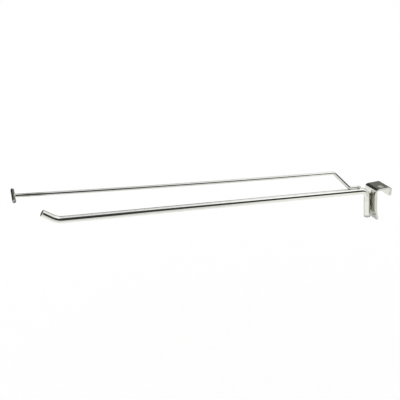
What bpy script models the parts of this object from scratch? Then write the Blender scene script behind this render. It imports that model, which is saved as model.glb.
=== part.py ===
"""A chromed display hook that drops over a rectangular hang rail.

A round wire prong carries the goods: it stands up the front of the saddle, bends forward and ends in an
upturned tip. A thinner wire is welded along the prong's back, climbs away from it and runs above it to a
crossbar, which carries the price ticket. The saddle is one folded strip that sits over the rail.

The origin is the middle of the saddle's seat, the face that rests on the rail's top edge. +Z is up, -Y is
towards the shopper and X is across the hook. Lengths are in metres and angles in degrees.
"""

import math

import bmesh
import bpy
from mathutils import Vector

# Rail that the saddle fits
RAIL_THICKNESS = 0.0127
RAIL_CLEARANCE = 0.0009

# Saddle: one strip, folded up the rail's front, over its top and down its back
STRIP_WIDTH = 0.020
STRIP_THICKNESS = 0.0018
FOLD_INNER_RADIUS = 0.0014
FRONT_DROP = 0.0287
KICK_DROP = 0.0203
KICK_SET_BACK = 0.0015
KICK_FOLD_RADIUS = 0.008
LIP_DROP = 0.0070
LIP_LEAN = 0.0009
FRONT_CORNER_RADIUS = 0.0005
LIP_CORNER_RADIUS = 0.0015
SHEARED_EDGE_BREAK = 0.00018

# Prong: the goods wire, from the foot of its leg to its tip
PRONG_DIAMETER = 0.006
PRONG_LEG_DROP = 0.0280
PRONG_BEND_BELOW_SEAT = 0.0015
PRONG_RISE = 5.35
PRONG_REACH = 0.288
PRONG_BEND_RADIUS = 0.007
TIP_LENGTH = 0.0144
TIP_RISE = 31.1
TIP_BEND_RADIUS = 0.016
PRONG_END_BREAK = 0.0003

# Ticket arm: the thin wire, from its foot on the prong to the crossbar
TICKET_DIAMETER = 0.003
FOOT_START = 0.0111
FOOT_LENGTH = 0.0079
FOOT_SINK = 0.00045
CLIMB_RISE = 48.2
CLIMB_HEIGHT = 0.01765
TICKET_RISE = 6.26
TICKET_REACH = 0.2855
TICKET_BOW = 0.0009
FOOT_BEND_RADIUS = 0.0035
CLIMB_BEND_RADIUS = 0.005
TICKET_END_BREAK = 0.0002

# Crossbar: the ticket holder's bar, across the arm's far end
CROSSBAR_LENGTH = 0.030
CROSSBAR_DIAMETER = 0.003
CROSSBAR_END_BREAK = 0.0005

# Welds: beads in the corners beside the leg, and one lump behind the foot
SEAM_GAP = 0.0003
LEG_WELD_DROPS = (0.0080, 0.0177)
LEG_WELD_HEIGHT = 0.0050
LEG_WELD_SIZE = 0.0026
LEG_WELD_OUT = 0.0006
LEG_WELD_PROUD = 0.0008
FOOT_WELD_LENGTH = 0.0044
FOOT_WELD_WIDTH = 0.0042
FOOT_WELD_HEIGHT = 0.0038
FOOT_WELD_BEHIND = 0.0015
FOOT_WELD_LOWERED = 0.0003

# Roundness of the meshes
PRONG_SIDES = 32
TICKET_SIDES = 20
BEAD_SIDES = 20
BEND_STEP = 7.5
CORNER_STEP = 22.5
BOW_TURN_LIMIT = 2.0
BOW_STEPS = 12
SMOOTH_ANGLE = 32.0
BREAK_ANGLE = 40.0
CUTTER_END_BREAK = 0.0001

# Places that follow from the sizes above
SHEET_HALF = STRIP_THICKNESS / 2
FRONT_SHEET_Y = -(RAIL_THICKNESS + RAIL_CLEARANCE + STRIP_THICKNESS) / 2
FRONT_FACE_Y = FRONT_SHEET_Y - SHEET_HALF
LEG_Y = FRONT_FACE_Y - SEAM_GAP - PRONG_DIAMETER / 2

ACROSS = Vector((1.0, 0.0, 0.0))
FORE_AND_AFT = Vector((0.0, 1.0, 0.0))


def plane_point(y, z):
    """A point in the hook's own upright plane, midway across its width."""
    return Vector((0.0, y, z))


def forward(rise):
    """The direction towards the shopper, tipped up by the rise."""
    angle = math.radians(rise)
    return plane_point(-math.cos(angle), math.sin(angle))


def square_to(direction):
    """The direction turned a quarter turn within the hook's plane, upwards where it runs forward."""
    return plane_point(direction.z, -direction.y)


def bent_path(corners, radii):
    """Stations (point, direction) of a line through the corners, with a round bend at each inner corner."""
    start_direction = (corners[1] - corners[0]).normalized()
    stations = [(corners[0], start_direction)]
    for before, corner, after, radius in zip(corners, corners[1:], corners[2:], radii):
        way_in = (corner - before).normalized()
        way_out = (after - corner).normalized()
        turn = way_in.angle(way_out)
        inward = (way_out - way_in * way_in.dot(way_out)).normalized()
        centre = corner - way_in * radius * math.tan(turn / 2) + inward * radius
        is_bow = math.degrees(turn) < BOW_TURN_LIMIT
        steps = BOW_STEPS if is_bow else max(2, round(math.degrees(turn) / BEND_STEP))
        for step in range(steps + 1):
            angle = turn * step / steps
            spoke = way_in * math.sin(angle) - inward * math.cos(angle)
            heading = way_in * math.cos(angle) + inward * math.sin(angle)
            stations.append((centre + spoke * radius, heading))
    stations.append((corners[-1], (corners[-1] - corners[-2]).normalized()))
    return stations


def stretched(stations, start, end):
    """The same path, lengthened at each end."""
    first, first_heading = stations[0]
    last, last_heading = stations[-1]
    longer = [(first - first_heading * start, first_heading)]
    longer += stations[1:-1]
    longer.append((last + last_heading * end, last_heading))
    return longer


# The hook's main lines


def saddle_path():
    """The middle of the strip's thickness, from the foot of the front plate to the end of the lip."""
    corners = [
        plane_point(FRONT_SHEET_Y + KICK_SET_BACK, -FRONT_DROP),
        plane_point(FRONT_SHEET_Y, -KICK_DROP),
        plane_point(FRONT_SHEET_Y, SHEET_HALF),
        plane_point(-FRONT_SHEET_Y, SHEET_HALF),
        plane_point(-FRONT_SHEET_Y - LIP_LEAN, -LIP_DROP),
    ]
    fold_radius = FOLD_INNER_RADIUS + SHEET_HALF
    return bent_path(corners, [KICK_FOLD_RADIUS, fold_radius, fold_radius])


def prong_corners():
    """The prong's corners: foot of the leg, top bend, tip bend and tip."""
    foot = plane_point(LEG_Y, -PRONG_LEG_DROP)
    bend = plane_point(LEG_Y, -PRONG_BEND_BELOW_SEAT)
    tip_bend = bend + forward(PRONG_RISE) * PRONG_REACH
    tip = tip_bend + forward(PRONG_RISE + TIP_RISE) * TIP_LENGTH
    return [foot, bend, tip_bend, tip]


def prong_path():
    """The prong's centre line."""
    return bent_path(prong_corners(), [PRONG_BEND_RADIUS, TIP_BEND_RADIUS])


def ticket_corners():
    """The ticket arm's corners: foot end, foot bend, top bend, middle of the bow and crossbar."""
    along = forward(PRONG_RISE)
    seat = (PRONG_DIAMETER + TICKET_DIAMETER) / 2 - FOOT_SINK
    foot_end = prong_corners()[1] + along * FOOT_START + square_to(along) * seat
    foot_bend = foot_end + along * FOOT_LENGTH
    climb = forward(CLIMB_RISE)
    top_bend = foot_bend + climb * (CLIMB_HEIGHT / climb.z)
    run = forward(TICKET_RISE)
    bow_middle = top_bend + run * (TICKET_REACH / 2) - square_to(run) * (2 * TICKET_BOW)
    crossbar = top_bend + run * TICKET_REACH
    return [foot_end, foot_bend, top_bend, bow_middle, crossbar]


def ticket_path():
    """The ticket arm's centre line: two tight bends, then one bend so wide that it fills the long run."""
    half_run = TICKET_REACH / 2
    bow_turn = 2 * math.atan(2 * TICKET_BOW / half_run)
    straight_end = 2 * CLIMB_BEND_RADIUS
    bow_radius = (half_run - straight_end) / math.tan(bow_turn / 2)
    return bent_path(ticket_corners(), [FOOT_BEND_RADIUS, CLIMB_BEND_RADIUS, bow_radius])


# Bodies


def chrome(name, colour, roughness):
    """A chrome-plated metal."""
    material = bpy.data.materials.new(name)
    material.use_nodes = True
    shader = material.node_tree.nodes["Principled BSDF"]
    shader.inputs["Base Color"].default_value = (*colour, 1.0)
    shader.inputs["Metallic"].default_value = 1.0
    shader.inputs["Roughness"].default_value = roughness
    return material


def add_body(name, mesh, material, parent):
    """An object of the hook, shaded smooth except at its real edges."""
    mesh.shade_smooth()
    mesh.set_sharp_from_angle(angle=math.radians(SMOOTH_ANGLE))
    body = bpy.data.objects.new(name, mesh)
    bpy.context.scene.collection.objects.link(body)
    body.parent = parent
    if material is not None:
        mesh.materials.append(material)
    return body


def skin(name, rings):
    """A closed mesh over rings of points, with a flat cap on the first and last ring."""
    shell = bmesh.new()
    loops = [[shell.verts.new(point) for point in ring] for ring in rings]
    count = len(rings[0])
    for near, far in zip(loops, loops[1:]):
        for i in range(count):
            j = (i + 1) % count
            shell.faces.new((near[i], near[j], far[j], far[i]))
    shell.faces.new(loops[0])
    shell.faces.new(loops[-1])
    bmesh.ops.recalc_face_normals(shell, faces=shell.faces)
    mesh = bpy.data.meshes.new(name)
    shell.to_mesh(mesh)
    shell.free()
    return mesh


def wire_mesh(name, stations, diameter, sides, end_break, spoke=ACROSS):
    """A round wire along its stations, cut off square with a slightly broken rim at both ends.

    The spoke is a direction square to the wire all the way along.
    """
    radius = diameter / 2
    first, last = stations[0], stations[-1]
    inside_first = (first[0] + first[1] * end_break, first[1])
    inside_last = (last[0] - last[1] * end_break, last[1])
    sections = [(first, radius - end_break), (inside_first, radius)]
    sections += [(station, radius) for station in stations[1:-1]]
    sections += [(inside_last, radius), (last, radius - end_break)]
    rings = []
    for (point, heading), ring_radius in sections:
        other_spoke = heading.cross(spoke)
        ring = []
        for side in range(sides):
            angle = math.tau * (side + 0.5) / sides
            ring.append(point + (spoke * math.cos(angle) + other_spoke * math.sin(angle)) * ring_radius)
        rings.append(ring)
    return skin(name, rings)


def rod_mesh(name, length, diameter, sides, end_break):
    """A straight round rod along X, centred on its own origin."""
    half = ACROSS * (length / 2)
    stations = [(-half, ACROSS), (half, ACROSS)]
    return wire_mesh(name, stations, diameter, sides, end_break, spoke=FORE_AND_AFT)


def strip_sections(stations):
    """Stations of the strip with its half width at each, narrowed at both ends by the round corners."""
    half_width = STRIP_WIDTH / 2
    steps = round(90 / CORNER_STEP)
    near_end = []
    far_end = []
    for step in range(steps + 1):
        angle = math.radians(CORNER_STEP * step)
        inset = 1 - math.cos(angle)
        narrowing = 1 - math.sin(angle)
        first, first_heading = stations[0]
        point = first + first_heading * FRONT_CORNER_RADIUS * inset
        near_end.append((point, first_heading, half_width - FRONT_CORNER_RADIUS * narrowing))
        last, last_heading = stations[-1]
        point = last - last_heading * LIP_CORNER_RADIUS * inset
        far_end.append((point, last_heading, half_width - LIP_CORNER_RADIUS * narrowing))
    middle = [(point, heading, half_width) for point, heading in stations[1:-1]]
    return near_end + middle + far_end[::-1]


def strip_mesh(name, stations):
    """The folded strip: a flat blank with round corners, carried round its folds."""
    rings = []
    for point, heading, half_width in strip_sections(stations):
        side = ACROSS * half_width
        face = square_to(heading) * SHEET_HALF
        rings.append([point - side - face, point + side - face, point + side + face, point - side + face])
    return skin(name, rings)


def bead_mesh(name, centre, size):
    """A round lump of weld metal, with its full size along each axis."""
    lump = bmesh.new()
    bmesh.ops.create_uvsphere(lump, u_segments=BEAD_SIDES, v_segments=BEAD_SIDES // 2, radius=0.5)
    bmesh.ops.scale(lump, vec=size, verts=lump.verts)
    bmesh.ops.translate(lump, vec=centre, verts=lump.verts)
    mesh = bpy.data.meshes.new(name)
    lump.to_mesh(mesh)
    lump.free()
    return mesh


def box_mesh(name, low, high):
    """A block between two corners."""
    block = bmesh.new()
    bmesh.ops.create_cube(block, size=1.0)
    bmesh.ops.scale(block, vec=high - low, verts=block.verts)
    bmesh.ops.translate(block, vec=(low + high) / 2, verts=block.verts)
    mesh = bpy.data.meshes.new(name)
    block.to_mesh(mesh)
    block.free()
    return mesh


# Room kept clear round a piece, which its neighbours are cut back to


def cutter(name, mesh, parent):
    """A shape that only cuts, and isn't part of the hook."""
    shape = add_body(name, mesh, None, parent)
    shape.display_type = "WIRE"
    shape.hide_render = True
    return shape


def cut_back(body, *cutters):
    """Takes each cutter's shape out of the body."""
    for shape in cutters:
        cut = body.modifiers.new("clear of " + shape.name, "BOOLEAN")
        cut.operation = "DIFFERENCE"
        cut.object = shape


def room_for_prong(parent):
    """The prong's own shape, grown by the seam gap."""
    name = "room_for_prong"
    stations = stretched(prong_path(), SEAM_GAP, SEAM_GAP)
    mesh = wire_mesh(name, stations, PRONG_DIAMETER + 2 * SEAM_GAP, PRONG_SIDES, CUTTER_END_BREAK)
    return cutter(name, mesh, parent)


def room_for_foot(parent):
    """The ticket arm's own shape, grown by the seam gap round its foot."""
    name = "room_for_foot"
    stations = stretched(ticket_path(), SEAM_GAP, 0.0)
    mesh = wire_mesh(name, stations, TICKET_DIAMETER + 2 * SEAM_GAP, TICKET_SIDES, CUTTER_END_BREAK)
    return cutter(name, mesh, parent)


def room_for_saddle(parent):
    """Everything behind the plane that lies a seam gap in front of the saddle."""
    low = Vector((-STRIP_WIDTH, FRONT_FACE_Y - SEAM_GAP, -FRONT_DROP - STRIP_WIDTH))
    high = Vector((STRIP_WIDTH, FRONT_FACE_Y + STRIP_WIDTH, STRIP_WIDTH))
    return cutter("room_for_saddle", box_mesh("room_for_saddle", low, high), parent)


def room_for_crossbar(parent):
    """The crossbar's own shape, grown by the seam gap."""
    name = "room_for_crossbar"
    diameter = CROSSBAR_DIAMETER + 2 * SEAM_GAP
    mesh = rod_mesh(name, CROSSBAR_LENGTH, diameter, TICKET_SIDES, CUTTER_END_BREAK)
    room = cutter(name, mesh, parent)
    room.location = ticket_corners()[-1]
    return room


# Pieces


def make_saddle(parent):
    """The folded strip, with its sheared edges slightly broken."""
    mesh = strip_mesh("saddle_bracket", saddle_path())
    saddle = add_body("saddle_bracket", mesh, chrome("saddle_chrome", (0.78, 0.78, 0.75), 0.10), parent)
    broken = saddle.modifiers.new("broken edges", "BEVEL")
    broken.width = SHEARED_EDGE_BREAK
    broken.segments = 2
    broken.limit_method = "ANGLE"
    broken.angle_limit = math.radians(BREAK_ANGLE)


def make_prong(parent):
    """The goods wire, whose leg stands against the front of the saddle."""
    mesh = wire_mesh("prong_wire", prong_path(), PRONG_DIAMETER, PRONG_SIDES, PRONG_END_BREAK)
    add_body("prong_wire", mesh, chrome("prong_chrome", (0.80, 0.80, 0.79), 0.06), parent)


def make_ticket_arm(parent, prong_room, crossbar_room):
    """The thin wire, with its foot sunk into the prong's back and its far end shaped to the crossbar."""
    mesh = wire_mesh("ticket_arm", ticket_path(), TICKET_DIAMETER, TICKET_SIDES, TICKET_END_BREAK)
    arm = add_body("ticket_arm", mesh, chrome("ticket_chrome", (0.76, 0.76, 0.75), 0.08), parent)
    cut_back(arm, prong_room, crossbar_room)


def make_crossbar(parent):
    """The bar across the arm's far end."""
    mesh = rod_mesh("ticket_crossbar", CROSSBAR_LENGTH, CROSSBAR_DIAMETER, TICKET_SIDES, CROSSBAR_END_BREAK)
    bar = add_body("ticket_crossbar", mesh, chrome("crossbar_chrome", (0.76, 0.76, 0.75), 0.08), parent)
    bar.location = ticket_corners()[-1]


def make_leg_welds(parent, prong_room, saddle_room, metal):
    """Short beads in the two corners between the leg and the saddle, at each weld's height."""
    corner_x = math.sqrt((PRONG_DIAMETER / 2 + SEAM_GAP) ** 2 - (PRONG_DIAMETER / 2) ** 2)
    size = (LEG_WELD_SIZE, LEG_WELD_SIZE, LEG_WELD_HEIGHT)
    for height_name, drop in zip(("upper", "lower"), LEG_WELD_DROPS):
        for side_name, side in (("right", 1), ("left", -1)):
            name = f"leg_weld_{height_name}_{side_name}"
            centre = Vector((side * (corner_x + LEG_WELD_OUT), FRONT_FACE_Y - LEG_WELD_PROUD, -drop))
            bead = add_body(name, bead_mesh(name, centre, size), metal, parent)
            cut_back(bead, prong_room, saddle_room)


def make_foot_weld(parent, prong_room, foot_room, metal):
    """The lump of weld metal on the prong's back, against the end of the ticket arm's foot."""
    foot_end = ticket_corners()[0]
    along = forward(PRONG_RISE)
    centre = foot_end - along * FOOT_WELD_BEHIND - square_to(along) * FOOT_WELD_LOWERED
    size = (FOOT_WELD_WIDTH, FOOT_WELD_LENGTH, FOOT_WELD_HEIGHT)
    bead = add_body("foot_weld", bead_mesh("foot_weld", centre, size), metal, parent)
    cut_back(bead, prong_room, foot_room)


def build():
    """Empties the scene and makes every piece under one empty."""
    for old in list(bpy.data.objects):
        bpy.data.objects.remove(old, do_unlink=True)
    hook = bpy.data.objects.new("display_hook", None)
    bpy.context.scene.collection.objects.link(hook)
    prong_room = room_for_prong(hook)
    weld_metal = chrome("weld_chrome", (0.62, 0.62, 0.60), 0.35)
    make_saddle(hook)
    make_prong(hook)
    make_ticket_arm(hook, prong_room, room_for_crossbar(hook))
    make_crossbar(hook)
    make_leg_welds(hook, prong_room, room_for_saddle(hook), weld_metal)
    make_foot_weld(hook, prong_room, room_for_foot(hook), weld_metal)


build()
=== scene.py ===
"""The looks of the chromed display hook, built round its solids.

The wires and the saddle keep their solids and get smooth shading and plated finishes, with painted shade
and painted reflections in some places. The weld beads are modelled again with their ripples, and the thin
flash of the welds is added where the pieces meet, the thread along the leg's contact near black as painted
crevice shade.
Lengths are in metres and angles in degrees.
"""

import math

import bmesh
import bpy
from mathutils import Matrix, Vector, noise


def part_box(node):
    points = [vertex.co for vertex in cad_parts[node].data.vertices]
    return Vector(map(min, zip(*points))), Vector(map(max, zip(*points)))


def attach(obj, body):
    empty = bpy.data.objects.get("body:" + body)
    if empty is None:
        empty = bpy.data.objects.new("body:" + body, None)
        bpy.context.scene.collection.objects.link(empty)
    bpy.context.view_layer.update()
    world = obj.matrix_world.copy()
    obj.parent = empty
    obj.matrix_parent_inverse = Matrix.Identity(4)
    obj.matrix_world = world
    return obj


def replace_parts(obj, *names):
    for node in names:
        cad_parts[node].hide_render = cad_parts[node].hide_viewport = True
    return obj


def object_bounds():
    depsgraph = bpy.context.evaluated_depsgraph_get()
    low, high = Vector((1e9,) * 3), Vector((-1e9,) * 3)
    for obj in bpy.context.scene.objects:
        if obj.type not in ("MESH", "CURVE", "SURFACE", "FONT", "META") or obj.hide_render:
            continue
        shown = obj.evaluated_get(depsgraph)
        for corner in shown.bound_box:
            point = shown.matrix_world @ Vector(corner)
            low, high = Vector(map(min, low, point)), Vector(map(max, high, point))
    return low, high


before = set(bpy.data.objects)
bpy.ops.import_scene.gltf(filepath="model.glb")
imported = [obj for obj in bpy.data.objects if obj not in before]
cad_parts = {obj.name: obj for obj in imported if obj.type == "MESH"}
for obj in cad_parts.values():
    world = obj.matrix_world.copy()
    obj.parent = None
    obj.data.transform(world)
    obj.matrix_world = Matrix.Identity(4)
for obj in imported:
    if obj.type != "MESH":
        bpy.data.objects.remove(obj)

UP = Vector((0.0, 0.0, 1.0))
ACROSS = Vector((1.0, 0.0, 0.0))
BACKWARDS = Vector((0.0, 1.0, 0.0))
FORWARDS = -BACKWARDS

# Camera, at the photograph's viewing angle
CAMERA_PLACE = Vector((0.568385, -0.327926, 0.248074))
CAMERA_YAW = 15.066
CAMERA_PITCH = 21.193
CAMERA_ROLL = -4.925
CAMERA_LENS_MM = 64.917
SENSOR_WIDTH_MM = 36.0
CLIP_START = 0.01

# Floor
WHITE = (1.0, 1.0, 1.0, 1.0)
FLOOR_DROP = 0.12
FLOOR_SIZE = 12.0

# Smooth shading of the solids
MERGE_DISTANCE = 0.000002
SMOOTH_ANGLE = 32.0
FLAT_FACE_WEIGHT = 100

# The studio that the chrome reflects
CEILING_COLOUR = (1.10, 1.10, 1.08)
# A patch has an azimuth from +X towards +Y, an elevation, a half width, a half height, a soft edge and a
# colour. Each patch lies over the ones before it.
STUDIO_PATCHES = {
    "walls": (0.0, 0.0, 180.0, 38.0, 20.0, (0.90, 0.90, 0.87)),
    "table": (0.0, -90.0, 180.0, 76.0, 8.0, (0.98, 0.99, 0.93)),
    "table_edge": (0.0, -38.0, 22.0, 12.0, 6.0, (0.68, 0.68, 0.66)),
    "lamp": (66.0, 54.0, 24.0, 13.0, 8.0, (1.30, 1.30, 1.28)),
    "ceiling_beyond": (148.0, 66.0, 22.0, 9.0, 8.0, (0.70, 0.70, 0.68)),
    "dim_ceiling": (2.0, 68.0, 26.0, 12.0, 8.0, (0.60, 0.60, 0.59)),
    "far_table": (130.0, -17.0, 74.0, 14.0, 8.0, (0.30, 0.30, 0.28)),
    "table_beyond_hook": (146.0, -17.0, 12.0, 9.0, 5.0, (0.65, 0.65, 0.63)),
    "floor_behind": (200.0, -32.0, 8.0, 6.0, 4.0, (0.55, 0.55, 0.53)),
    "room_behind_camera": (24.0, 13.5, 22.0, 25.0, 6.0, (0.04, 0.04, 0.038)),
    "grey_behind_camera": (49.0, 2.0, 12.0, 15.0, 5.0, (0.10, 0.10, 0.096)),
    "room_top": (19.0, 50.0, 17.0, 12.0, 5.0, (0.05, 0.05, 0.048)),
    "room_beside_camera": (-2.0, 20.0, 12.0, 40.0, 4.0, (0.03, 0.03, 0.028)),
    "room_behind_hook": (85.0, 8.0, 40.0, 12.0, 8.0, (0.06, 0.06, 0.055)),
    "low_lamp": (66.0, 21.0, 13.0, 6.0, 4.0, (1.20, 1.20, 1.18)),
    "backdrop": (150.0, 8.0, 30.0, 18.0, 5.0, (0.17, 0.17, 0.155)),
    "backdrop_top": (173.0, 33.0, 20.0, 10.0, 4.0, (0.04, 0.04, 0.036)),
    "far_wall": (196.0, 14.0, 16.0, 24.0, 4.0, (0.035, 0.035, 0.032)),
    "far_wall_foot": (188.0, -14.0, 13.0, 10.0, 4.0, (0.035, 0.035, 0.032)),
}

# Colours of the finishes, with painted shade and painted reflections among them
PRONG_COLOUR = (0.83, 0.83, 0.815)
SADDLE_COLOUR = (0.80, 0.80, 0.77)
TICKET_COLOUR = (0.86, 0.86, 0.845)
# Painted shade that darkens the ticket arm in front of its climb
ARM_RUN_SHADE_COLOUR = (0.71, 0.71, 0.695)
WELD_COLOUR = (0.80, 0.80, 0.78)
# Foot flash plating, lightened as a painted highlight against the shade in the seams
FOOT_FLASH_LIGHTENED_COLOUR = (0.90, 0.90, 0.88)
# Dark weld metal in the corner by the leg, darkened further as painted shade
CORNER_WELD_COLOUR = (0.28, 0.28, 0.25)
# Near black flash along the leg's contact, as painted shade in the crevice
CREVICE_SHADE_FLASH_COLOUR = (0.09, 0.09, 0.08)
COLLAR_COLOUR = (0.80, 0.80, 0.78)
CUT_END_COLOUR = (0.40, 0.40, 0.385)
# Painted olive reflection on the rough corner of the saddle's front beside the leg
CORNER_OLIVE_REFLECTION_COLOUR = (0.96, 0.955, 0.84)
# Painted shade on the prong's leg in its corner against the saddle
PRONG_CORNER_SHADE_COLOUR = (0.22, 0.215, 0.18)
# Painted shade, darker still, on the arm towards its far weld
FAR_END_SHADE_COLOUR = (0.38, 0.38, 0.365)
SHEARED_COLOUR = (0.70, 0.70, 0.675)
# Painted reflection of a light patch on the saddle's top
TOP_REFLECTION_PATCH_COLOUR = (0.86, 0.86, 0.83)

# Roughness of the finishes
PRONG_ROUGHNESS = 0.05
SADDLE_ROUGHNESS = 0.07
TICKET_ROUGHNESS = 0.06
ARM_RUN_ROUGHNESS = 0.07
WELD_ROUGHNESS = 0.40
CUT_END_ROUGHNESS = 0.25
CROSSBAR_END_ROUGHNESS = 0.35
SADDLE_CORNER_ROUGHNESS = 0.45
PRONG_CORNER_SHADE_ROUGHNESS = 0.25
FAR_END_SHADE_ROUGHNESS = 0.10
SHEARED_ROUGHNESS = 0.22
TOP_REFLECTION_PATCH_ROUGHNESS = 0.42

# Fine grain of the metal under the plating, with its noise scales along X, Y and Z
WIRE_GRAIN = (2600.0, 60.0, 2600.0)
STRIP_GRAIN = (2600.0, 260.0, 260.0)
WELD_GRAIN = (900.0, 900.0, 900.0)
GRAIN_DETAIL = 3.0
GRAIN_RANGE = (0.4, 0.8)
GRAIN_ROUGHENING = 0.5
PLATING_RELIEF = 0.000004
WELD_RELIEF = 0.00004
RELIEF_STRENGTH = 0.25

# Cloudy film on the plating
FILM_SCALE = 160.0
FILM_DETAIL = 4.0
FILM_SHADE = 0.93
FILM_SHADE_RANGE = (0.45, 0.75)
FILM_WEAR_RANGE = (0.35, 0.75)
CLEAR_ROUGHNESS_SHARE = 0.7
CLOUDY_ROUGHNESS_SHARE = 1.5
BROKEN_MARK_RANGE = (0.3, 0.5)
BROKEN_MARK_SHARE = 0.75

# Where the plating differs, and where shade and reflections are painted on it
CUT_END_REACH = 0.0020
CUT_END_FADE = 0.0015
CROSSBAR_END_REACH = 0.0007
CROSSBAR_END_FADE = 0.0003
CORNER_MIDDLE_X = 0.0030
CORNER_HALF_WIDTH = 0.0034
CORNER_FADE = 0.0014
CORNER_MIDDLE_Z = -0.0140
CORNER_HALF_HEIGHT = 0.0100
CORNER_END_FADE = 0.0012
LEG_REAR_REACH = 0.0025
LEG_REAR_FADE = 0.0008
ARM_RUN_REACH = 0.255
ARM_RUN_FADE = 0.012
# Place of the painted shade towards the arm's far weld
FAR_END_SHADE_BACK = 0.014
FAR_END_SHADE_HALF_LENGTH = 0.009
FAR_END_SHADE_FADE = 0.005
# Place of the painted reflection on the saddle's top
TOP_REFLECTION_MIDDLE_X = 0.0046
TOP_REFLECTION_MIDDLE_Y = -0.0003
TOP_REFLECTION_HALF_WIDTH = 0.0032
TOP_REFLECTION_HALF_DEPTH = 0.0018
TOP_REFLECTION_FADE = 0.0014
SHEARED_DEPTH = 0.00008
SHEARED_FADE = 0.00004
FACE_DEPTH = 0.0003
FACE_FADE = 0.0001

# Lines of the wires that the weld metal follows
PRONG_RISE = 5.35
PRONG_BEND_BELOW_SEAT = 0.0015
TICKET_RISE = 6.26
FOOT_START = 0.0111
FOOT_LENGTH = 0.0079
FOOT_SINK = 0.00045
CONTACT_TOP = -0.0079
CONTACT_FOOT = -0.0203

# Weld metal
BEAD_SIDES = 40
BEAD_RINGS = 44
RIPPLE_COUNT = 7
RIPPLE_DEPTH = 0.035
LUMP_DEPTH = 0.10
LUMP_SCALE = 900.0
LUMP_SINK = 0.5
CONTACT_FLASH_RADIUS = 0.00034
FOOT_FLASH_RADIUS = 0.00050
FOOT_FLASH_OUT = 0.00025
COLLAR_RADIUS = 0.00145
COLLAR_WIRE_RADIUS = 0.00042
FLASH_SIDES = 10
FLASH_STEP = 0.00025
FLASH_LUMP = 0.3
FLASH_TAPER_POWER = 0.3

# Places of the colours among a mix node's sockets
MIX_FIRST_COLOUR = 6
MIX_SECOND_COLOUR = 7
MIX_COLOUR_RESULT = 2


def new_node(tree, kind, **settings):
    """A node with its settings, such as its operation."""
    made = tree.nodes.new(kind)
    for name, value in settings.items():
        setattr(made, name, value)
    return made


def plug(tree, source, socket):
    """Feeds a socket from another node's socket, or sets it to a plain value."""
    if isinstance(source, bpy.types.NodeSocket):
        tree.links.new(source, socket)
    else:
        socket.default_value = source


def calculate(tree, operation, *values):
    """The result of a Math node."""
    made = new_node(tree, "ShaderNodeMath", operation=operation)
    for value, socket in zip(values, made.inputs):
        plug(tree, value, socket)
    return made.outputs[0]


def dot(tree, vector, direction):
    """The length of a vector along a fixed direction."""
    made = new_node(tree, "ShaderNodeVectorMath", operation="DOT_PRODUCT")
    plug(tree, vector, made.inputs[0])
    made.inputs[1].default_value = direction
    return made.outputs["Value"]


def remap(tree, value, low, high, to_low, to_high, smooth=False):
    """A value carried from one range to another, held at both ends."""
    made = new_node(tree, "ShaderNodeMapRange")
    made.interpolation_type = "SMOOTHSTEP" if smooth else "LINEAR"
    for number, socket in zip((value, low, high, to_low, to_high), made.inputs):
        plug(tree, number, socket)
    return made.outputs["Result"]


def mix_colour(tree, share, first, second):
    """The first colour, turned into the second by a share."""
    made = new_node(tree, "ShaderNodeMix", data_type="RGBA")
    plug(tree, share, made.inputs["Factor"])
    for colour, place in ((first, MIX_FIRST_COLOUR), (second, MIX_SECOND_COLOUR)):
        is_plain = not isinstance(colour, bpy.types.NodeSocket)
        plug(tree, (*colour, 1.0) if is_plain else colour, made.inputs[place])
    return made.outputs[MIX_COLOUR_RESULT]


def noise_of(tree, vector, scale, detail):
    """Cloudy noise from 0 to 1."""
    made = new_node(tree, "ShaderNodeTexNoise")
    plug(tree, vector, made.inputs["Vector"])
    made.inputs["Scale"].default_value = scale
    made.inputs["Detail"].default_value = detail
    return made.outputs["Fac"]


def object_place(tree):
    """The place on the piece, in its own coordinates."""
    return new_node(tree, "ShaderNodeTexCoord").outputs["Object"]


def stretched_place(tree, scale):
    """The place on the piece, scaled along each axis."""
    mapping = new_node(tree, "ShaderNodeMapping")
    plug(tree, object_place(tree), mapping.inputs["Vector"])
    mapping.inputs["Scale"].default_value = scale
    return mapping.outputs["Vector"]


# The studio


def set_camera():
    """A camera that looks at the hook as the photograph does."""
    yaw, pitch, roll = (math.radians(a) for a in (CAMERA_YAW, CAMERA_PITCH, CAMERA_ROLL))
    ahead = Vector((-math.cos(yaw) * math.cos(pitch), math.sin(yaw) * math.cos(pitch), -math.sin(pitch)))
    level_right = ahead.cross(UP).normalized()
    level_up = level_right.cross(ahead)
    right = level_right * math.cos(roll) + level_up * math.sin(roll)
    up = level_up * math.cos(roll) - level_right * math.sin(roll)
    data = bpy.data.cameras.new("camera")
    data.lens = CAMERA_LENS_MM
    data.sensor_width = SENSOR_WIDTH_MM
    data.clip_start = CLIP_START
    camera = bpy.data.objects.new("camera", data)
    turned = Matrix((right, up, -ahead)).transposed().to_4x4()
    camera.matrix_world = Matrix.Translation(CAMERA_PLACE) @ turned
    bpy.context.scene.collection.objects.link(camera)
    bpy.context.scene.camera = camera


def patch_share(tree, direction, azimuth, elevation, half_width, half_height, soft):
    """1 inside a patch of the studio's walls and 0 outside it, with a soft edge."""
    turn = math.radians(azimuth)
    ahead = dot(tree, direction, (math.cos(turn), math.sin(turn), 0.0))
    aside = dot(tree, direction, (-math.sin(turn), math.cos(turn), 0.0))
    sideways = calculate(tree, "ABSOLUTE", calculate(tree, "ARCTAN2", aside, ahead))
    height = calculate(tree, "ARCSINE", dot(tree, direction, UP))
    upwards = calculate(tree, "ABSOLUTE", calculate(tree, "SUBTRACT", height, math.radians(elevation)))
    shares = []
    for angle, half in ((sideways, half_width), (upwards, half_height)):
        inner = math.radians(half - soft / 2)
        outer = math.radians(half + soft / 2)
        shares.append(remap(tree, angle, inner, outer, 1.0, 0.0, smooth=True))
    return calculate(tree, "MULTIPLY", *shares)


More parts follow.
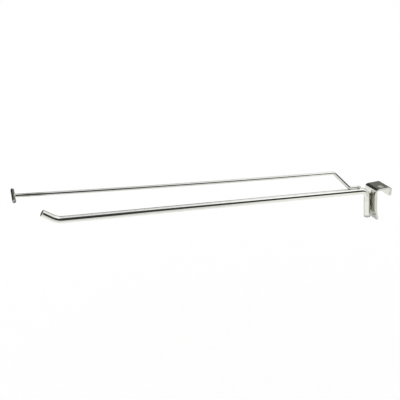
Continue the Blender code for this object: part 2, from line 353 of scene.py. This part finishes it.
def set_world():
    """Even white light, and for reflections a white studio with the dark room beyond it."""
    world = bpy.data.worlds.new("studio")
    world.use_nodes = True
    bpy.context.scene.world = world
    tree = world.node_tree
    tree.nodes.clear()
    direction = new_node(tree, "ShaderNodeTexCoord").outputs["Generated"]
    colour = CEILING_COLOUR
    for azimuth, elevation, half_width, half_height, soft, patch_colour in STUDIO_PATCHES.values():
        share = patch_share(tree, direction, azimuth, elevation, half_width, half_height, soft)
        colour = mix_colour(tree, share, colour, patch_colour)
    plain = new_node(tree, "ShaderNodeBackground")
    plain.inputs["Color"].default_value = WHITE
    reflected = new_node(tree, "ShaderNodeBackground")
    plug(tree, colour, reflected.inputs["Color"])
    rays = new_node(tree, "ShaderNodeLightPath")
    chosen = new_node(tree, "ShaderNodeMixShader")
    plug(tree, rays.outputs["Is Glossy Ray"], chosen.inputs[0])
    plug(tree, plain.outputs[0], chosen.inputs[1])
    plug(tree, reflected.outputs[0], chosen.inputs[2])
    plug(tree, chosen.outputs[0], new_node(tree, "ShaderNodeOutputWorld").inputs["Surface"])


def make_floor(lowest):
    """A plain white floor, far enough below the hung hook for its shadow to spread."""
    grid = bmesh.new()
    bmesh.ops.create_grid(grid, x_segments=1, y_segments=1, size=FLOOR_SIZE / 2)
    mesh = bpy.data.meshes.new("floor")
    grid.to_mesh(mesh)
    grid.free()
    floor = bpy.data.objects.new("floor", mesh)
    floor.location = (0.0, 0.0, lowest - FLOOR_DROP)
    bpy.context.scene.collection.objects.link(floor)
    material = bpy.data.materials.new("floor_white")
    material.use_nodes = True
    shader = material.node_tree.nodes["Principled BSDF"]
    shader.inputs["Base Color"].default_value = WHITE
    shader.inputs["Roughness"].default_value = 1.0
    shader.inputs["Specular IOR Level"].default_value = 0.0
    mesh.materials.append(material)
    floor.visible_glossy = False


# Finishes, with their painted shade and painted reflections


def mark_share(tree, bands):
    """1 where a place lies within every band (direction, middle, half width, fade), and 0 outside them."""
    place = object_place(tree)
    share = 1.0
    for direction, middle, half, fade in bands:
        off = calculate(tree, "ABSOLUTE", calculate(tree, "SUBTRACT", dot(tree, place, direction), middle))
        inside = remap(tree, off, half - fade, half + fade, 1.0, 0.0, smooth=True)
        share = calculate(tree, "MULTIPLY", share, inside)
    return share


def plated(name, colour, grain, roughness, relief, marks=()):
    """Bright plating with a cloudy film, over metal with a fine grain.

    Each mark (bands, colour, roughness) is a place where the finish differs or where shade or a reflection
    is painted.
    """
    material = bpy.data.materials.new(name)
    material.use_nodes = True
    tree = material.node_tree
    shader = tree.nodes["Principled BSDF"]
    shader.inputs["Metallic"].default_value = 1.0
    lines = noise_of(tree, stretched_place(tree, grain), 1.0, GRAIN_DETAIL)
    film = noise_of(tree, object_place(tree), FILM_SCALE, FILM_DETAIL)
    darker = tuple(part * FILM_SHADE for part in colour)
    shade = mix_colour(tree, remap(tree, film, *FILM_SHADE_RANGE, 0.0, 1.0), colour, darker)
    clear = roughness * CLEAR_ROUGHNESS_SHARE
    cloudy = roughness * CLOUDY_ROUGHNESS_SHARE
    film_wear = remap(tree, film, *FILM_WEAR_RANGE, clear, cloudy)
    grain_wear = remap(tree, lines, *GRAIN_RANGE, 0.0, roughness * GRAIN_ROUGHENING)
    worn = calculate(tree, "ADD", film_wear, grain_wear)
    for bands, mark_colour, mark_roughness in marks:
        unbroken = remap(tree, film, *BROKEN_MARK_RANGE, BROKEN_MARK_SHARE, 1.0)
        broken = calculate(tree, "MULTIPLY", mark_share(tree, bands), unbroken)
        shade = mix_colour(tree, broken, shade, mark_colour)
        worn = remap(tree, broken, 0.0, 1.0, worn, mark_roughness)
    plug(tree, shade, shader.inputs["Base Color"])
    plug(tree, worn, shader.inputs["Roughness"])
    bump = new_node(tree, "ShaderNodeBump")
    bump.inputs["Strength"].default_value = RELIEF_STRENGTH
    bump.inputs["Distance"].default_value = relief
    plug(tree, lines, bump.inputs["Height"])
    plug(tree, bump.outputs["Normal"], shader.inputs["Normal"])
    return material


def reach_along(node, direction):
    """How far a solid reaches along a direction."""
    return max(point.co.dot(direction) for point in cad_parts[node].data.vertices)


def end_band(node, direction, reach, fade):
    """The band that covers a solid's end in a direction, as far back as the reach."""
    return (direction, reach_along(node, direction), reach, fade)


def prong_finish():
    """Drawn wire, duller at the leg's cut end, and darkened by painted shade in the corner against the
    saddle.
    """
    leg_end = [end_band("prong_wire", -UP, CUT_END_REACH, CUT_END_FADE)]
    corner = [
        end_band("prong_wire", BACKWARDS, LEG_REAR_REACH, LEG_REAR_FADE),
        (UP, CORNER_MIDDLE_Z, CORNER_HALF_HEIGHT, CORNER_END_FADE),
    ]
    marks = [
        (leg_end, CUT_END_COLOUR, CUT_END_ROUGHNESS),
        # Painted shade in the corner against the saddle
        (corner, PRONG_CORNER_SHADE_COLOUR, PRONG_CORNER_SHADE_ROUGHNESS),
    ]
    return plated("prong_plating", PRONG_COLOUR, WIRE_GRAIN, PRONG_ROUGHNESS, PLATING_RELIEF, marks)


def saddle_finish():
    """Rolled strip, with rougher sheared edges, a rough corner beside the leg tinted olive as a painted
    reflection, and a painted reflection of a light patch on top.
    """
    low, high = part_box("saddle_bracket")
    corner = [
        (ACROSS, CORNER_MIDDLE_X, CORNER_HALF_WIDTH, CORNER_FADE),
        (BACKWARDS, low.y, FACE_DEPTH, FACE_FADE),
        (UP, CORNER_MIDDLE_Z, CORNER_HALF_HEIGHT, CORNER_END_FADE),
    ]
    top_reflection = [
        (ACROSS, TOP_REFLECTION_MIDDLE_X, TOP_REFLECTION_HALF_WIDTH, TOP_REFLECTION_FADE),
        (BACKWARDS, TOP_REFLECTION_MIDDLE_Y, TOP_REFLECTION_HALF_DEPTH, TOP_REFLECTION_FADE),
        (UP, high.z, FACE_DEPTH, FACE_FADE),
    ]
    marks = [
        # Painted olive reflection beside the leg
        (corner, CORNER_OLIVE_REFLECTION_COLOUR, SADDLE_CORNER_ROUGHNESS),
        # Painted reflection of a light patch on top
        (top_reflection, TOP_REFLECTION_PATCH_COLOUR, TOP_REFLECTION_PATCH_ROUGHNESS),
    ]
    for side in (ACROSS, -ACROSS):
        sheared = [end_band("saddle_bracket", side, SHEARED_DEPTH, SHEARED_FADE)]
        marks.append((sheared, SHEARED_COLOUR, SHEARED_ROUGHNESS))
    return plated("saddle_plating", SADDLE_COLOUR, STRIP_GRAIN, SADDLE_ROUGHNESS, PLATING_RELIEF, marks)


def ticket_finish(name, marks):
    """Thin drawn wire."""
    return plated(name, TICKET_COLOUR, WIRE_GRAIN, TICKET_ROUGHNESS, PLATING_RELIEF, marks)


def arm_finish():
    """The same wire, darkened by painted shade in front of its climb and more so towards its far weld."""
    run = [end_band("ticket_arm", FORWARDS, ARM_RUN_REACH, ARM_RUN_FADE)]
    far_shade_middle = reach_along("ticket_arm", FORWARDS) - FAR_END_SHADE_BACK
    far_shade = [(FORWARDS, far_shade_middle, FAR_END_SHADE_HALF_LENGTH, FAR_END_SHADE_FADE)]
    marks = [
        # Painted shade on the arm's run
        (run, ARM_RUN_SHADE_COLOUR, ARM_RUN_ROUGHNESS),
        # Painted shade towards the far weld
        (far_shade, FAR_END_SHADE_COLOUR, FAR_END_SHADE_ROUGHNESS),
    ]
    return ticket_finish("ticket_plating", marks)


def crossbar_finish():
    """The same wire, duller at the crossbar's two cut ends."""
    marks = []
    for side in (ACROSS, -ACROSS):
        cut_end = [end_band("ticket_crossbar", side, CROSSBAR_END_REACH, CROSSBAR_END_FADE)]
        marks.append((cut_end, CUT_END_COLOUR, CROSSBAR_END_ROUGHNESS))
    return ticket_finish("crossbar_plating", marks)


def weld_finish(name, colour):
    """Plating over rough weld metal."""
    return plated(name, colour, WELD_GRAIN, WELD_ROUGHNESS, WELD_RELIEF)


def smooth_group():
    """Node group that joins the solid's split corners and smooths all but its real edges."""
    group = bpy.data.node_groups.new("smooth_but_edges", "GeometryNodeTree")
    group.interface.new_socket("Geometry", in_out="INPUT", socket_type="NodeSocketGeometry")
    group.interface.new_socket("Geometry", in_out="OUTPUT", socket_type="NodeSocketGeometry")
    start = new_node(group, "NodeGroupInput")
    joined = new_node(group, "GeometryNodeMergeByDistance")
    joined.inputs["Distance"].default_value = MERGE_DISTANCE
    faces = new_node(group, "GeometryNodeSetShadeSmooth", domain="FACE")
    edges = new_node(group, "GeometryNodeSetShadeSmooth", domain="EDGE")
    edges.inputs["Shade Smooth"].default_value = False
    angle = new_node(group, "GeometryNodeInputMeshEdgeAngle")
    sharp = new_node(group, "FunctionNodeCompare", data_type="FLOAT", operation="GREATER_THAN")
    end = new_node(group, "NodeGroupOutput")
    sharp.inputs[1].default_value = math.radians(SMOOTH_ANGLE)
    plug(group, angle.outputs["Unsigned Angle"], sharp.inputs[0])
    plug(group, sharp.outputs["Result"], edges.inputs["Selection"])
    plug(group, start.outputs[0], joined.inputs["Geometry"])
    plug(group, joined.outputs["Geometry"], faces.inputs["Geometry"])
    plug(group, faces.outputs["Geometry"], edges.inputs["Geometry"])
    plug(group, edges.outputs["Geometry"], end.inputs[0])
    return group


def dress(node, group, material):
    """Smooths a solid and gives it its finish."""
    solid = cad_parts[node]
    smooth = solid.modifiers.new("smooth but edges", "NODES")
    smooth.node_group = group
    weighted = solid.modifiers.new("flat faces stay flat", "WEIGHTED_NORMAL")
    weighted.keep_sharp = True
    weighted.weight = FLAT_FACE_WEIGHT
    solid.data.materials.clear()
    solid.data.materials.append(material)


# Weld metal


def add_piece(name, shell, material):
    """A smooth piece of weld metal made from a bmesh, with its faces outwards, that rides on the hook."""
    bmesh.ops.recalc_face_normals(shell, faces=shell.faces)
    if shell.calc_volume(signed=True) < 0:
        bmesh.ops.reverse_faces(shell, faces=shell.faces)
    mesh = bpy.data.meshes.new(name)
    shell.to_mesh(mesh)
    shell.free()
    mesh.shade_smooth()
    mesh.materials.append(material)
    piece = bpy.data.objects.new(name, mesh)
    bpy.context.scene.collection.objects.link(piece)
    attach(piece, "root")
    return piece


def make_bead(name, node, axis, material):
    """A weld bead in the place of its solid, with ripples across its axis and an uneven skin."""
    low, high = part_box(node)
    centre = (low + high) / 2
    half = (high - low) / 2
    bead = bmesh.new()
    bmesh.ops.create_uvsphere(bead, u_segments=BEAD_SIDES, v_segments=BEAD_RINGS, radius=1.0)
    bead.transform(UP.rotation_difference(axis).to_matrix().to_4x4())
    for vertex in bead.verts:
        along = vertex.co.dot(axis)
        ripple = math.cos(math.pi * RIPPLE_COUNT * along) * (1 - along * along)
        spread = Vector((vertex.co.x * half.x, vertex.co.y * half.y, vertex.co.z * half.z))
        lumps = noise.noise((centre + spread) * LUMP_SCALE)
        swell = 1 - RIPPLE_DEPTH + RIPPLE_DEPTH * ripple + LUMP_DEPTH * (lumps - LUMP_SINK)
        vertex.co = centre + spread * swell
    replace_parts(add_piece(name, bead, material), node)


def make_flash(name, points, radius, material, is_ring=False):
    """A thin uneven thread of weld flash through points, closed into a ring or tapered at both ends."""
    shell = bmesh.new()
    count = len(points)
    loops = []
    for i, point in enumerate(points):
        before = points[i - 1] if is_ring or i > 0 else point
        after = points[(i + 1) % count] if is_ring or i < count - 1 else point
        heading = (after - before).normalized()
        if not loops:
            spoke = heading.orthogonal()
        spoke = (spoke - heading * spoke.dot(heading)).normalized()
        other_spoke = heading.cross(spoke)
        taper = 1.0 if is_ring else math.sin(math.pi * (i + 0.5) / count) ** FLASH_TAPER_POWER
        swell = 1 + FLASH_LUMP * noise.noise(point * LUMP_SCALE)
        loop = []
        for side in range(FLASH_SIDES):
            angle = math.tau * side / FLASH_SIDES
            offset = spoke * math.cos(angle) + other_spoke * math.sin(angle)
            loop.append(shell.verts.new(point + offset * radius * taper * swell))
        loops.append(loop)
    pairs = list(zip(loops, loops[1:]))
    if is_ring:
        pairs.append((loops[-1], loops[0]))
    for near, far in pairs:
        for side in range(FLASH_SIDES):
            beside = (side + 1) % FLASH_SIDES
            shell.faces.new((near[side], near[beside], far[beside], far[side]))
    if not is_ring:
        shell.faces.new(loops[0])
        shell.faces.new(loops[-1])
    add_piece(name, shell, material)


def straight_points(start, end):
    """Evenly spaced points from one place to another."""
    count = round((end - start).length / FLASH_STEP)
    return [start.lerp(end, i / count) for i in range(count + 1)]


def rising_forward(rise):
    """The direction towards the shopper, tipped up by the rise."""
    angle = math.radians(rise)
    return Vector((0.0, -math.cos(angle), math.sin(angle)))


def make_contact_flash(material):
    """The thread of flash squeezed out where the leg touches the saddle's front, near black as painted
    shade in the crevice.
    """
    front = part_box("saddle_bracket")[0].y
    start = Vector((0.0, front, CONTACT_TOP))
    end = Vector((0.0, front, CONTACT_FOOT))
    make_flash("leg_contact_shade_flash", straight_points(start, end), CONTACT_FLASH_RADIUS, material)


def make_foot_flash(material):
    """Two threads of flash along the seams between the ticket arm's foot and the prong."""
    prong_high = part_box("prong_wire")[1]
    bar_low, bar_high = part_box("ticket_crossbar")
    prong_radius = prong_high.x
    ticket_radius = (bar_high.z - bar_low.z) / 2
    along = rising_forward(PRONG_RISE)
    upwards = along.cross(ACROSS)
    apart = prong_radius + ticket_radius - FOOT_SINK
    height = (apart ** 2 + prong_radius ** 2 - ticket_radius ** 2) / (2 * apart)
    aside = math.sqrt(prong_radius ** 2 - height ** 2) + FOOT_FLASH_OUT
    bend = Vector((0.0, prong_high.y - prong_radius, -PRONG_BEND_BELOW_SEAT))
    start = bend + along * FOOT_START + upwards * height
    for side_name, side in (("right", 1), ("left", -1)):
        offset = ACROSS * (side * aside)
        points = straight_points(start + offset, start + along * FOOT_LENGTH + offset)
        make_flash("foot_flash_" + side_name, points, FOOT_FLASH_RADIUS, material)


def make_crossbar_collar(material):
    """The ring of flash round the ticket arm where it meets the crossbar."""
    low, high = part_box("ticket_crossbar")
    bar_radius = (high.z - low.z) / 2
    along = rising_forward(TICKET_RISE)
    upwards = along.cross(ACROSS)
    steps = round(math.tau * COLLAR_RADIUS / FLASH_STEP)
    half_height = bar_radius - COLLAR_WIRE_RADIUS * (1 + FLASH_LUMP)
    points = []
    for i in range(steps):
        angle = math.tau * i / steps
        height = half_height * math.sin(angle)
        back = math.sqrt(bar_radius ** 2 - height ** 2)
        aside = COLLAR_RADIUS * math.cos(angle)
        points.append((low + high) / 2 + ACROSS * aside + upwards * height - along * back)
    make_flash("crossbar_flash", points, COLLAR_WIRE_RADIUS, material, is_ring=True)


def main():
    cad_low, cad_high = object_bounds()
    bpy.context.scene.view_settings.view_transform = "Standard"
    set_camera()
    set_world()
    make_floor(cad_low.z)
    group = smooth_group()
    dress("prong_wire", group, prong_finish())
    dress("saddle_bracket", group, saddle_finish())
    dress("ticket_arm", group, arm_finish())
    dress("ticket_crossbar", group, crossbar_finish())
    bright_weld = weld_finish("weld_plating", WELD_COLOUR)
    # The leg's weld beads: dark weld metal with painted corner shade
    shaded_corner_weld = weld_finish("corner_weld_plating", CORNER_WELD_COLOUR)
    for node in sorted(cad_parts):
        if node.startswith("leg_weld"):
            dress(node, group, shaded_corner_weld)
            make_bead(node.replace("weld", "bead"), node, UP, shaded_corner_weld)
    dress("foot_weld", group, bright_weld)
    make_bead("foot_bead", "foot_weld", BACKWARDS, bright_weld)
    # Near black as painted crevice shade
    make_contact_flash(weld_finish("contact_crevice_shade_plating", CREVICE_SHADE_FLASH_COLOUR))
    # Lightened as a painted highlight in the seams
    make_foot_flash(weld_finish("foot_flash_plating", FOOT_FLASH_LIGHTENED_COLOUR))
    make_crossbar_collar(weld_finish("crossbar_flash_plating", COLLAR_COLOUR))


main()
